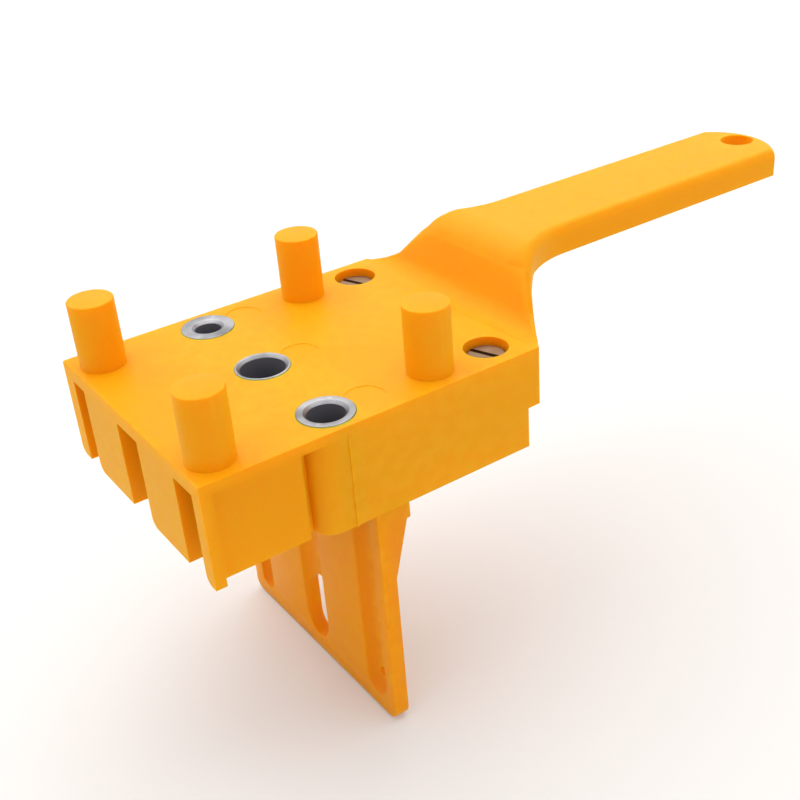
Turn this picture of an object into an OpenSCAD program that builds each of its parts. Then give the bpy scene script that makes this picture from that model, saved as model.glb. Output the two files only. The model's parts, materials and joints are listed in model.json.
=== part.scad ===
// Hand-held doweling jig: a moulded body with handle, pegs and steel drill bushes,
// and a sliding fence that two slotted screws clamp under it.
// The origin is on the middle bush's axis, in the face of the plate; the handle points along +Y.

/* [Body] */
// Width of the body
body_w = 67.4; // [64:0.2:76]
// Distance from the bush row to the front edge
front_len = 32.7; // [31:0.1:40]
// Distance from the bush row to the back wall
back_len = 49.7; // [49:0.1:56]
// Height of the body from the plate's face to its rim
body_h = 24; // [23.5:0.5:30]
// Thickness of the plate
plate_t = 2.4; // [1.6:0.1:3]
// Thickness of the outer walls
wall_t = 2.4; // [1.8:0.1:2.6]
// Thickness of the inner ribs
rib_t = 1.6; // [1:0.1:2]
// Depth of the recess in the side walls in front of the bush row
side_recess = 2.4; // [1:0.1:2.8]
// Width of the corner posts in front of the recess
post_w = 2.5; // [1.5:0.1:4]
// Height of the back wall, down to where the slide passes under it
back_wall_h = 14.2; // [13.6:0.1:14.4]
// How far the side walls stop short below the back wall
back_step = 3.3; // [1:0.1:5]

/* [Pegs] */
// Diameter of a locating peg
peg_d = 10.3; // [8:0.1:12]
// Height of a locating peg
peg_h = 15.8; // [10:0.1:20]
// Distance from the front pegs to the back pegs
peg_pitch = 52; // [50:0.5:54]

/* [Bushes] */
// Distance from an outer bush's axis to the body's side
bush_inset = 7.7; // [7.2:0.1:8.6]
// Outer diameter of the bushes
bush_d = 12.4; // [12:0.1:12.8]
// Bore for the small drill
small_bore = 6.1; // [5:0.1:7]
// Bore for the medium drill
medium_bore = 8.1; // [7:0.1:8.5]
// Bore for the large drill
large_bore = 10.1; // [8:0.1:10.4]
// Chamfer at both mouths of a bush
bush_chamfer = 0.7; // [0.2:0.1:0.9]
// How far a bush stands out of the plate
bush_proud = 0.2; // [0:0.1:0.4]
// Wall of the boss round a bush
boss_wall = 1.5; // [1.2:0.1:1.8]

/* [Handle] */
// Width of the handle
handle_w = 25.4; // [20:0.2:30]
// Thickness of the handle
handle_t = 7; // [5.5:0.5:9]
// Height of the handle's upper face over the plate
handle_rise = 14.6; // [12:0.2:18]
// Distance from the bush row to the tip of the handle
handle_reach = 156.2; // [130:0.2:190]
// How far the rounded tip runs past the straight sides
tip_bulge = 6.2; // [3:0.1:10]
// Diameter of the hanging hole
hang_d = 8.6; // [6:0.1:10]
// Distance from the hanging hole to the tip
hang_inset = 6.6; // [6:0.1:12]

/* [Fence] */
// How far the fence's ends stay inside the body's sides
fence_inset = 0.5; // [0:0.1:3]
// Height of the fence under the body
fence_h = 58.7; // [40:0.1:70]
// Thickness of the fence plate
fence_t = 3.7; // [3:0.1:4.2]
// Distance from the bush row to the fence's face when it is closest
fence_near = 5.1; // [5.1:0.1:6]
// Travel of the fence
fence_travel = 24; // [15:1:24]
// Depth of the drill grooves in the fence
groove_depth = 2.3; // [1:0.1:2.6]
// Thickness of the slide
slide_t = 3; // [2.6:0.1:3.2]

/* [Clamp screws] */
// Distance from the bush row to the clamp screws
screw_y = 41.1; // [40.6:0.1:42]
// Diameter of a clamp screw
screw_d = 5; // [4:0.1:5.2]
// Length of a clamp screw under its head
screw_len = 20; // [19.5:0.1:20]
// Diameter of a screw head
head_d = 9.2; // [8:0.1:9.5]
// Height of a screw head
head_h = 2.4; // [2:0.1:3]
// Diameter of the counterbore for a screw head
counterbore_d = 10.1; // [9.8:0.1:11]
// Depth from the plate's face down to a screw head
head_sink = 1.6; // [0.4:0.1:1.8]
// Width of a square nut across its flats
nut_w = 8; // [7.5:0.1:8.2]
// Height of a square nut
nut_h = 4; // [3:0.1:4]

/* [Hidden] */
$fn = 48;
cut = 1;                       // overrun of a cut past the face that it opens
gap = 0.3;                     // distance between a moving piece and what it passes
turn_gap = 0.06;               // radial clearance round a turning screw
arc_steps = 10;                // segments in a rounded stretch of an outline

half_w = body_w / 2;
bush_pitch = half_w - bush_inset;
boss_d = bush_d + 2 * boss_wall;
bush_end_gap = 0.5;            // how far a bush ends above the rim
bore_sizes = [small_bore, large_bore, medium_bore];
bush_xs = [-bush_pitch, 0, bush_pitch];
play = 0.1;                    // how much a bore is wider than its drill
drill_sizes = [for (b = bore_sizes) b - play];

sight_top = plate_t + 1;        // where a sight slot starts under the plate
sight_depth = wall_t + 5.8;     // how far a sight slot runs back
tooth_r = 2.2;                // rounded lower corner beside a sight slot
bulge_r = 4.6;                 // rounded front corner of the wall's bulge round a bush
groove_in = 2.2;               // extra depth of the groove in front of a bush boss
groove_w = 2.7;                // width of that groove
mark_r = 4.4;                  // radius of the round marks behind the bushes
mark_y = 9.4;                  // distance from the bush row to those marks
mark_depth = 0.15;             // depth of those marks
line_w = 0.6;                  // width of the centre line on the side walls
line_out = 0.25;               // how far that line stands out

neck_slope = 55.2;             // angle of the neck's flared sides, from the handle's axis
neck_r = 22;                   // radius between the neck and the handle
face_run = 6.4;                // length over which the neck's face climbs
face_start = back_len + 3.1;   // foot of the neck's face
foot_r = 6;                    // rounding at the foot of that face
crown_share = 0.55;            // flat part of the neck's crown, of the handle's width
climb_share = 0.64;            // straight part of the neck's face, of its climb
settle_share = 2.1;            // where the face becomes level, of its run
shoulder_share = 0.8;          // fullness of the neck's shoulders, of its height
shoulder_in = 1.8;             // how far the neck's shoulders start inside the body's width
throat_len = 13;               // length over which the neck's lower face climbs to the handle
throat_in = 6;                 // how far that face bends inwards
throat_rib_in = 1.2;           // distance from the handle's side to the outer ribs in the throat
throat_rib_x = handle_w / 2 - throat_rib_in;
handle_rib_pitch = 15;         // distance between the ribs under the handle
handle_rib_up = 1;             // how far those ribs stay above the handle's lower face
hang_boss_wall = 2;            // wall of the boss round the hanging hole

slide_top = back_wall_h + gap;
slide_bottom = slide_top + slide_t;
fence_w = body_w - 2 * fence_inset;
slide_half = half_w - wall_t - gap;
fence_top = body_h + gap;
flange_t = 4;                  // thickness of the flange under the rim
riser_t = 4.2;                 // thickness of the riser behind the bosses
flange_run = 8.5;              // depth of the flange
fence_back = fence_near + flange_run;
riser_front = fence_back - riser_t;
fork_share = 0.5;              // half width of the gap between the slide's arms, of the pitch
fork_half = fork_share * bush_pitch;
riser_lap = 2;                 // how far the riser reaches past that gap
riser_half = fork_half + riser_lap;
bar_run = 6.3;                 // depth of the bar that joins the arms
fork_start = fence_back + bar_run;
slide_end_wall = 4;            // material behind the slots
slot_w = screw_d + 2 * gap;
slot_front = screw_y - fence_travel - slot_w / 2;
slot_back = screw_y + slot_w / 2;
slide_end = slot_back + slide_end_wall;
fence_r = 3;                   // rounding of the fence's lower corners
gusset_t = 2;                  // thickness of the gussets behind the fence
gusset_h = 16;                // height of the gussets
gusset_in = 0.5;                // distance from an end gusset to the fence's end
groove_end = 3.6;              // plain strip under the drill grooves
window_share = 0.8;            // width of the window, of its groove
window_low = 4.4;              // distance from the fence's lower edge to the window
window_h = 17.4;               // height of the window
facing_hole_d = 2.8;           // holes for the screws of a wooden facing
facing_hole_low = 9;           // distance from the fence's lower edge to those holes

washer_d = 10;                 // diameter of a washer
washer_t = 1;                  // thickness of a washer
washer_bore = screw_d + gap;
washer_top = slide_bottom + gap;
nut_top = washer_top + washer_t;
key_t = 1.6;                   // thickness of the rib that keeps a nut from turning
key_x = bush_pitch - washer_d / 2 - gap;
key_hold = 1.6;                // how far the key rib reaches along the nut
key_h = gap + washer_t + key_hold;
screw_xs = [-bush_pitch, bush_pitch];
screw_boss_d = 13;             // diameter of the bosses that carry the screw heads
drive_w = 1.2;                 // width of a screw's drive slot
drive_depth = 1.2;             // depth of a screw's drive slot
drive_angle = 20;              // direction of the drive slots
head_edge = 0.5;               // chamfer round a screw head
tip_chamfer = 0.6;             // chamfer at a screw's end
nut_chamfer = 0.5;             // chamfer at a nut's thread

// points of an arc of radius r round c, from angle a to angle b
function arc(c, r, a, b) = [for (i = [0 : arc_steps])
    c + r * [cos(a + (b - a) * i / arc_steps), sin(a + (b - a) * i / arc_steps)]];
// points of a curve that leaves p towards q and arrives at s
function bend(p, q, s) = [for (i = [0 : arc_steps])
    let (t = i / arc_steps) (1 - t) * (1 - t) * p + 2 * t * (1 - t) * q + t * t * s];
// the other half of an outline that is symmetric in x
function mirrored(points) = [for (i = [len(points) - 1 : -1 : 0]) [-points[i][0], points[i][1]]];
// radius of a groove with a given width and depth
function groove_radius(w, d) = (w * w / 4 + d * d) / (2 * d);

module box(low, high) {
    translate(low) cube(high - low);
}

// upright round bar between two heights
module rod(x, y, low, high, d) {
    translate([x, y, low]) cylinder(h = high - low, d = d);
}

// plan of the lower body: full width behind the bush row, recessed in front of it
module wall_outline() {
    difference() {
        translate([-half_w, -front_len]) square([body_w, front_len + back_len]);
        for (s = [-1, 1]) {
            recess(s, side_recess, -front_len + post_w);
            recess(s, side_recess + groove_in, -boss_d / 2 - groove_w + rib_t / 2);
        }
    }
    for (x = bush_xs) translate([x, 0]) circle(d = boss_d);
    for (s = [-1, 1]) side_bulge(s);
}

// the wall bulges out round an outer bush, with a rounded front corner
module side_bulge(side) {
    inner = bush_pitch;
    corner = half_w - bulge_r;
    translate([side * corner, -boss_d / 2 + bulge_r]) circle(r = bulge_r);
    translate([side > 0 ? inner : -corner, -boss_d / 2]) square([corner - inner, boss_d / 2]);
    translate([side > 0 ? corner : -half_w, -boss_d / 2 + bulge_r])
        square([bulge_r, boss_d / 2 - bulge_r]);
}

// a strip cut from one side of the plan, from y to the bush row
module recess(side, depth, y) {
    inner = half_w - depth;
    translate([side > 0 ? inner : -half_w - cut, y]) square([depth + cut, -y]);
}

// plan of the hollow inside the walls
module hollow_outline() {
    front_half = half_w - side_recess - wall_t;
    neck_half = half_w - side_recess - groove_in - wall_t;
    neck_y = -boss_d / 2 - groove_w - wall_t / 2;
    front_in = front_len - wall_t;
    translate([-front_half, -front_in]) square([2 * front_half, front_in + neck_y]);
    translate([-neck_half, neck_y - cut]) square([2 * neck_half, cut - neck_y]);
    translate([-half_w + wall_t, 0]) square([body_w - 2 * wall_t, back_len - wall_t]);
}

// outline of the neck and handle seen from above, moved in by i
module neck_plan(i) {
    centre = [handle_w / 2 + neck_r, handle_start()];
    flare = neck_slope;
    foot = centre + (neck_r + i) * [cos(180 + flare), sin(180 + flare)];
    side = half_w - i;
    side_y = foot[1] - (side - foot[0]) / tan(flare);
    tip_half = handle_w / 2 - i;
    tip_y = handle_reach - tip_bulge;
    bulge = tip_bulge - i;
    tip_r = (tip_half * tip_half + bulge * bulge) / (2 * bulge);
    tip_a = asin(tip_half / tip_r);
    right = concat([[side, 0], [side, side_y]],
                   arc(centre, neck_r + i, 180 + flare, 180),
                   arc([0, handle_reach - i - tip_r], tip_r, 90 - tip_a, 90));
    polygon(concat(right, mirrored(right)));
}

// where the handle's sides become straight: the flare starts at the back wall's corners
function handle_start() = back_len + (half_w - handle_w / 2) / tan(neck_slope)
    + neck_r * tan(neck_slope / 2);

// outline of the neck and handle seen from the side, as y and z, moved in by i from above
module neck_side(i, low) {
    top = handle_rise - i;
    lean = atan2(handle_rise, face_run);
    start = face_start + i / sin(lean);
    foot = foot_r * tan(lean / 2);
    polygon(concat(
        [[0, low], [0, -i]],
        bend([start - foot, -i], [start, -i], [start + foot * cos(lean), -i + foot * sin(lean)]),
        bend([start + face_run * climb_share, -i + handle_rise * climb_share],
             [start + face_run, top], [start + face_run * settle_share, top]),
        [[handle_reach, top], [handle_reach, low]]));
}

// outline of the neck seen from the front, as x and z: sloping shoulders and a flat crown
module neck_front(i) {
    top = handle_rise - i;
    side = half_w - shoulder_in - i;
    crown = crown_share * handle_w;
    right = concat([[half_w - i, -body_h], [half_w - i, -i], [side, -i]],
                   bend([side, -i], [(side + crown) / 2, shoulder_share * top], [crown, top]));
    polygon(concat(right, mirrored(right)));
}

// the neck and handle as a block down to z = low, moved in by i
module neck_block(i, low) {
    intersection() {
        translate([0, 0, low]) linear_extrude(handle_rise - low) neck_plan(i);
        translate([-half_w, 0, 0]) rotate([90, 0, 90]) linear_extrude(body_w) neck_side(i, low);
        translate([0, handle_reach, 0]) rotate([90, 0, 0]) linear_extrude(handle_reach) neck_front(i);
    }
}

// what is cut away under the handle and behind the back wall
module under_handle() {
    low = handle_rise - handle_t;
    translate([-half_w - cut, 0, 0]) rotate([90, 0, 90]) linear_extrude(body_w + 2 * cut)
        polygon(concat([[back_len, -body_h - cut]],
                       bend([back_len, -back_wall_h], [back_len + throat_in, low - throat_in],
                            [back_len + throat_len, low]),
                       [[handle_reach + cut, low], [handle_reach + cut, -body_h - cut]]));
}

module body() {
    color([1, 0.7, 0.05]) difference() {
        union() {
            plate();
            walls();
            pegs();
            screw_bosses();
            neck();
            centre_lines();
        }
        for (x = bush_xs) rod(x, 0, -body_h - cut, cut, bush_d);
        for (x = screw_xs) screw_hole(x);
        sight_slots();
        rod(0, handle_reach - hang_inset, -cut, handle_rise + cut, hang_d);
        for (x = bush_xs) mark(x);
    }
}

module plate() {
    box([-half_w, -front_len, -plate_t], [half_w, back_len, 0]);
}

module walls() {
    difference() {
        translate([0, 0, -body_h]) linear_extrude(body_h - plate_t / 2) difference() {
            wall_outline();
            hollow_outline();
        }
        back_cut();
    }
    for (x = bush_xs) rod(x, 0, -body_h, -plate_t / 2, boss_d);
    front_ribs();
    back_ribs();
}

// the walls stop short below the back wall, so that the slide can run out
module back_cut() {
    out = half_w + cut;
    in = half_w - wall_t;
    box([-out, back_len - back_step, -body_h - cut], [out, back_len + cut, -back_wall_h]);
    box([-in, 0, -body_h - cut], [in, back_len + cut, -back_wall_h]);
}

// two ribs run from each sight slot to its bush, and one joins the bushes
module front_ribs() {
    for (k = [0 : len(bush_xs) - 1], s = [-1, 1]) {
        x = bush_xs[k] + s * (drill_sizes[k] / 2 + rib_t / 2);
        if (abs(x) < half_w - side_recess - wall_t) front_rib(x);
    }
    box([-bush_pitch, -rib_t / 2, -body_h], [bush_pitch, rib_t / 2, -plate_t / 2]);
}

module front_rib(x) {
    front = -front_len + wall_t / 2;
    box([x - rib_t / 2, front, -body_h], [x + rib_t / 2, -bush_d / 2, -plate_t / 2]);
}

// shallow ribs over the slide
module back_ribs() {
    rib_ys = [for (k = [1 : 3]) boss_d / 2 + k * (screw_y - boss_d / 2) / 3];
    in_wall = half_w - wall_t / 2;
    low = -back_wall_h + rib_t;
    for (y = rib_ys) box([-in_wall, y - rib_t / 2, low], [in_wall, y + rib_t / 2, -plate_t / 2]);
    for (s = [-1, 1]) {
        x = s * fork_half;
        box([x - rib_t / 2, 0, low], [x + rib_t / 2, back_len - wall_t / 2, -plate_t / 2]);
    }
}

module pegs() {
    for (x = [-1, 1], y = [-1, 1]) rod(x * bush_pitch, y * peg_pitch / 2, -plate_t / 2, peg_h, peg_d);
}

module screw_bosses() {
    for (x = screw_xs) intersection() {
        rod(x, screw_y, -back_wall_h, -plate_t / 2, screw_boss_d);
        box([-half_w, 0, -body_h], [half_w, back_len, 0]);
    }
}

module screw_hole(x) {
    rod(x, screw_y, -body_h, cut, screw_d + 2 * turn_gap);
    rod(x, screw_y, -head_sink - head_h, cut, counterbore_d);
}

// slots in the front wall, as wide as the drills, with a rounded corner at their foot
module sight_slots() {
    for (k = [0 : len(bush_xs) - 1]) {
        half = drill_sizes[k] / 2;
        x = bush_xs[k];
        box([x - half, -front_len - cut, -body_h - cut],
            [x + half, -front_len + sight_depth, -sight_top]);
        tooth_corner(x + half);
    }
    tooth_corner(-half_w);
}

// takes the lower corner off the wall that starts at x
module tooth_corner(x) {
    translate([x, -front_len + wall_t, -body_h]) rotate([90, 0, 0]) linear_extrude(wall_t + cut)
        difference() {
            translate([-cut, -cut]) square(tooth_r + cut);
            translate([tooth_r, tooth_r]) circle(r = tooth_r);
        }
}

module mark(x) {
    rod(x, mark_y, -mark_depth, cut, 2 * mark_r);
}

// raised lines on the side walls, level with the bush row
module centre_lines() {
    for (s = [-1, 1]) {
        inner = s * (half_w - wall_t / 2);
        outer = s * (half_w + line_out);
        box([min(inner, outer), 0, -body_h], [max(inner, outer), line_w, -plate_t]);
    }
}

// hollow neck and handle with ribs below
module neck() {
    difference() {
        neck_block(0, -back_wall_h);
        under_handle();
        difference() {
            neck_block(plate_t, -body_h);
            handle_ribs();
            rod(0, handle_reach - hang_inset, -cut, handle_rise + cut, hang_d + 2 * hang_boss_wall);
            box([-half_w, 0, -body_h], [half_w, back_len - wall_t, handle_rise]);
        }
    }
}

module handle_ribs() {
    low = handle_rise - handle_t + handle_rib_up;
    box([-rib_t / 2, back_len, low], [rib_t / 2, handle_reach, handle_rise]);
    for (x = [-throat_rib_x, 0, throat_rib_x])
        box([x - rib_t / 2, back_len - wall_t, -body_h], [x + rib_t / 2, back_len + throat_len, handle_rise]);
    count = floor((handle_reach - hang_inset - back_len) / handle_rib_pitch);
    for (k = [1 : count - 1]) {
        y = back_len + throat_len + (k - 1) * handle_rib_pitch;
        box([-half_w, y - rib_t / 2, low], [half_w, y + rib_t / 2, handle_rise]);
    }
}

module bush(x, bore) {
    r = bush_d / 2;
    b = bore / 2;
    c = bush_chamfer;
    low = -body_h + bush_end_gap;
    color("silver") translate([x, 0, 0]) rotate_extrude()
        polygon([[b + c, bush_proud], [r, bush_proud], [r, low], [b + c, low], [b, low + c],
                 [b, bush_proud - c]]);
}

module bush_small() {
    bush(-bush_pitch, small_bore);
}

module bush_large() {
    bush(0, large_bore);
}

module bush_medium() {
    bush(bush_pitch, medium_bore);
}

module fence() {
    color([1, 0.6, 0.05]) difference() {
        union() {
            fence_plate();
            flange();
            riser();
            slide();
            gussets();
        }
        for (x = screw_xs) slide_slot(x);
        for (k = [0 : len(bush_xs) - 1]) drill_groove(bush_xs[k], drill_sizes[k]);
        window(0, window_share * drill_sizes[1]);
        for (x = screw_xs) facing_hole(x);
    }
}

module flange() {
    half = fence_w / 2;
    box([-half, fence_near, -fence_top - flange_t], [half, fence_back, -fence_top]);
}

module riser() {
    low = -fence_top - flange_t / 2;
    box([-riser_half, riser_front, low], [riser_half, fence_back, -slide_top]);
}

// upright plate with rounded lower corners
module fence_plate() {
    half = fence_w / 2;
    translate([0, fence_near + fence_t, -fence_top - fence_h]) rotate([90, 0, 0])
        linear_extrude(fence_t) {
            translate([-half, fence_r]) square([fence_w, fence_h - fence_r]);
            translate([-half + fence_r, 0]) square([fence_w - 2 * fence_r, fence_r + cut]);
            for (s = [-1, 1]) translate([s * (half - fence_r), fence_r]) circle(r = fence_r);
        }
}

// two arms that run back over the screws, and a bar in front that joins them
module slide() {
    difference() {
        box([-slide_half, riser_front, -slide_bottom], [slide_half, slide_end, -slide_top]);
        box([-fork_half, fork_start, -slide_bottom - cut],
            [fork_half, slide_end + cut, -slide_top + cut]);
    }
    for (s = [-1, 1]) {
        x = s * (key_x - key_t / 2);
        box([x - key_t / 2, riser_front, -slide_bottom - key_h],
            [x + key_t / 2, slide_end, -slide_bottom + slide_t / 2]);
    }
}

module slide_slot(x) {
    r = slot_w / 2;
    low = -slide_bottom - cut;
    high = -slide_top + cut;
    for (y = [slot_front + r, slot_back - r]) rod(x, y, low, high, slot_w);
    box([x - r, slot_front + r, low], [x + r, slot_back - r, high]);
}

// small hole through the fence, in the groove at x
module facing_hole(x) {
    translate([x, fence_near - cut, -fence_top - fence_h + facing_hole_low]) rotate([-90, 0, 0])
        cylinder(h = fence_t + 2 * cut, d = facing_hole_d);
}

module gussets() {
    end_x = fence_w / 2 - gusset_in - gusset_t / 2;
    depth = fence_back - fence_near - fence_t - gusset_in;
    for (x = [-end_x, -riser_half + gusset_t / 2, riser_half - gusset_t / 2, end_x])
        translate([x - gusset_t / 2, fence_near + fence_t, -fence_top - flange_t])
            rotate([90, 0, 90]) linear_extrude(gusset_t)
                polygon([[-gusset_in, gusset_in], [depth, gusset_in], [depth, 0], [0, -gusset_h],
                         [-gusset_in, -gusset_h]]);
}

// round-bottomed groove in line with a bush, run out at its foot
module drill_groove(x, w) {
    r = groove_radius(w, groove_depth);
    low = -fence_top - fence_h + groove_end;
    y = fence_near + groove_depth - r;
    rod(x, y, low + r, -fence_top + cut, 2 * r);
    translate([x, y, low + r]) sphere(r = r);
}

// long hole in the bottom of the middle groove
module window(x, w) {
    low = -fence_top - fence_h + window_low + w / 2;
    high = low + window_h - w;
    front = fence_near - cut;
    for (z = [low, high])
        translate([x, front, z]) rotate([-90, 0, 0]) cylinder(h = fence_t + 2 * cut, d = w);
    box([x - w / 2, front, low], [x + w / 2, fence_near + fence_t + cut, high]);
}

// slotted screw: a turned profile with a slot across its head
module clamp_screw(x) {
    h = head_d / 2;
    r = screw_d / 2;
    seat = -head_sink - head_h;
    tip = seat - screw_len;
    color("gainsboro") translate([x, screw_y, 0]) difference() {
        rotate_extrude()
            polygon([[0, -head_sink], [h - head_edge, -head_sink], [h, -head_sink - head_edge],
                     [h, seat], [r, seat], [r, tip + tip_chamfer], [r - tip_chamfer, tip], [0, tip]]);
        rotate(drive_angle)
            box([-head_d, -drive_w / 2, -head_sink - drive_depth], [head_d, drive_w / 2, cut]);
    }
}

module clamp_screw_left() {
    clamp_screw(-bush_pitch);
}

module clamp_screw_right() {
    clamp_screw(bush_pitch);
}

module washer(x) {
    color("silver") difference() {
        rod(x, screw_y, -nut_top, -washer_top, washer_d);
        rod(x, screw_y, -nut_top - cut, -washer_top + cut, washer_bore);
    }
}

module washer_left() {
    washer(-bush_pitch);
}

module washer_right() {
    washer(bush_pitch);
}

module square_nut(x) {
    r = screw_d / 2 + turn_gap;
    color("gainsboro") difference() {
        translate([x - nut_w / 2, screw_y - nut_w / 2, -nut_top - nut_h]) cube([nut_w, nut_w, nut_h]);
        rod(x, screw_y, -nut_top - nut_h - cut, -nut_top + cut, 2 * r);
        translate([x, screw_y, -nut_top - nut_h])
            cylinder(h = nut_chamfer, r1 = r + nut_chamfer, r2 = r);
    }
}

module square_nut_left() {
    square_nut(-bush_pitch);
}

module square_nut_right() {
    square_nut(bush_pitch);
}

body();
bush_small();
bush_large();
bush_medium();
fence();
clamp_screw_left();
clamp_screw_right();
washer_left();
washer_right();
square_nut_left();
square_nut_right();
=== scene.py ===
"""Dressed scene of a hand-held doweling jig.

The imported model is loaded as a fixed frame. The two mouldings are merged copies of their
solids with moulded edges, the turned and threaded steel pieces are worked out with numpy,
and every finish is a node material.
"""

import json
import logging
import math
from contextlib import contextmanager
from dataclasses import dataclass, field
from enum import Enum
from typing import Any, Callable, Iterable, Iterator

import bmesh
import bpy
import numpy as np
from mathutils import Matrix, Vector

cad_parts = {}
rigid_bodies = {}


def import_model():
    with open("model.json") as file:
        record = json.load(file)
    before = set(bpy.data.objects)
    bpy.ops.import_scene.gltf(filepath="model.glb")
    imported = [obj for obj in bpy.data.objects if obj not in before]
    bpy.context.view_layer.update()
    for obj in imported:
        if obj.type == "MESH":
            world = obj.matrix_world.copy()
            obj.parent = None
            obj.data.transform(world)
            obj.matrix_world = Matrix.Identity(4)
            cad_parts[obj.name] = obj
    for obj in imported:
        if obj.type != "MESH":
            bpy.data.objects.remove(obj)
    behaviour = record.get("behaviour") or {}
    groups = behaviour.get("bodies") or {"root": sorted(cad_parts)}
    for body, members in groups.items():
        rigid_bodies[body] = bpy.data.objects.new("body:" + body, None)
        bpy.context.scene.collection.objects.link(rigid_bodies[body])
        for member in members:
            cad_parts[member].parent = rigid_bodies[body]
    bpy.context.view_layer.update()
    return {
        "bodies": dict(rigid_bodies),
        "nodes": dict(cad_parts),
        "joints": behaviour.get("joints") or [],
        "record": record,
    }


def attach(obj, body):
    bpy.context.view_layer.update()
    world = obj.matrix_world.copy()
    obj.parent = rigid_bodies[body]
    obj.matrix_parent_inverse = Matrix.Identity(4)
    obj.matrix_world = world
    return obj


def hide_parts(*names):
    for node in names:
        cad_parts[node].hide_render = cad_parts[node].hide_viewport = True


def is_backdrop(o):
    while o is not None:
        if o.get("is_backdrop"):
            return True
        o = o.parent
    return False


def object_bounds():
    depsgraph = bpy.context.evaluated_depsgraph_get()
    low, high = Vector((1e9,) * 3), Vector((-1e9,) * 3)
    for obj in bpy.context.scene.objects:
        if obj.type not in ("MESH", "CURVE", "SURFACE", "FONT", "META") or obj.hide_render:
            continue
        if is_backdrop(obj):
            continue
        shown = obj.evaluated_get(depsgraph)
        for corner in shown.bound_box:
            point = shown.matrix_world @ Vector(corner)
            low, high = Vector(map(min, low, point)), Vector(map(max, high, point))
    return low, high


LOG = logging.getLogger("doweling_jig")

MM = 0.001
TURN = 2.0 * math.pi

MERGE_REACH = 2e-6  # points nearer than this, in metres, are one point
SHARP_DEG = 28.0  # a moulding's edges over this angle stay sharp
ON_FORM = 0.09 * MM  # points this near to the neck's form lie on its outer faces
BUSH_PITCH = 26.0 * MM


class Side(Enum):
    """The side of the jig that a clamp stands on; the value is the sign of its x."""

    LEFT = -1
    RIGHT = 1


# ---------------------------------------------------------------- node helpers


class NodeSheet:
    """Adds and joins nodes of one tree."""

    def __init__(self, tree: bpy.types.NodeTree) -> None:
        """Keeps the tree.

        Args:
            tree: the node tree to fill.
        """
        self.tree = tree

    def add(self, kind: str, **settings: Any) -> bpy.types.Node:
        """Adds one node.

        Args:
            kind: the node's type name.
            **settings: properties of the node, set as they are named.

        Returns:
            The new node.
        """
        node = self.tree.nodes.new(kind)
        for key, value in settings.items():
            setattr(node, key, value)
        return node

    def join(self, source: Any, target: Any) -> None:
        """Joins an output socket to an input socket."""
        self.tree.links.new(source, target)

    def put(self, socket: bpy.types.NodeSocket, value: Any) -> None:
        """Joins an output socket to an input, or sets the input to a plain value."""
        if isinstance(value, bpy.types.NodeSocket):
            self.join(value, socket)
        else:
            socket.default_value = value

    def feed(self, node: bpy.types.Node, **values: Any) -> bpy.types.Node:
        """Sets or joins inputs of a node by their names.

        Args:
            node: the node whose inputs are set.
            **values: a value or an output socket for each input; an underscore stands
                for a space in the input's name.

        Returns:
            The same node.
        """
        for key, value in values.items():
            self.put(node.inputs[key.replace("_", " ")], value)
        return node

    def object_place(self) -> bpy.types.NodeSocket:
        """The place on the piece, in Object coordinates."""
        return self.add("ShaderNodeTexCoord").outputs["Object"]

    def noise(
        self, place: Any, scale: Any, detail: float = 2.0, roughness: float = 0.5
    ) -> bpy.types.NodeSocket:
        """Adds a noise texture.

        Args:
            place: socket of the coordinates.
            scale: value or socket of the scale.
            detail: layers of noise.
            roughness: weight of the finer layers.

        Returns:
            The noise's value socket.
        """
        node = self.add("ShaderNodeTexNoise")
        self.feed(node, Vector=place, Scale=scale, Detail=detail, Roughness=roughness)
        return node.outputs["Fac"]

    def effect(self, tree: bpy.types.NodeTree, **values: Any) -> bpy.types.Node:
        """Places a shared node group with its own input values.

        Args:
            tree: the node group.
            **values: the inputs, as feed() takes them.

        Returns:
            The group's node.
        """
        return self.feed(self.add("ShaderNodeGroup", node_tree=tree), **values)

    def seen_directly(self) -> bpy.types.NodeSocket:
        """1 for camera, glossy and transmission rays, 0 for light on its way elsewhere."""
        path = self.add("ShaderNodeLightPath").outputs
        seen = self.math("MAXIMUM", path["Is Camera Ray"], path["Is Glossy Ray"])
        return self.math("MAXIMUM", seen, path["Is Transmission Ray"])

    def math(self, operation: str, a: Any, b: Any = 0.0) -> bpy.types.NodeSocket:
        """Adds a Math node.

        Args:
            operation: the node's operation.
            a: first value or socket.
            b: second value or socket.

        Returns:
            The node's output socket.
        """
        node = self.add("ShaderNodeMath", operation=operation)
        for socket, value in zip(node.inputs, (a, b)):
            self.put(socket, value)
        return node.outputs[0]

    def ramp(
        self, value: Any, low: float, high: float, a: float, b: float
    ) -> bpy.types.NodeSocket:
        """Maps a value from low..high to a..b, held at both ends.

        Args:
            value: the socket that is mapped.
            low: where the range starts.
            high: where the range ends.
            a: result at low.
            b: result at high.

        Returns:
            The mapped socket.
        """
        node = self.add("ShaderNodeMapRange")
        self.join(value, node.inputs["Value"])
        for name, number in (("From Min", low), ("From Max", high), ("To Min", a), ("To Max", b)):
            node.inputs[name].default_value = number
        return node.outputs["Result"]

    def mix(self, mask: Any, a: Any, b: Any) -> bpy.types.NodeSocket:
        """Mixes two colours by a mask.

        Args:
            mask: share of the second colour.
            a: first colour, a socket or four numbers.
            b: second colour, a socket or four numbers.

        Returns:
            The mixed colour's socket.
        """
        node = self.add("ShaderNodeMix", data_type="RGBA")
        for socket, value in ((node.inputs[0], mask), (node.inputs[6], a), (node.inputs[7], b)):
            self.put(socket, value)
        return node.outputs[2]


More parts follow.
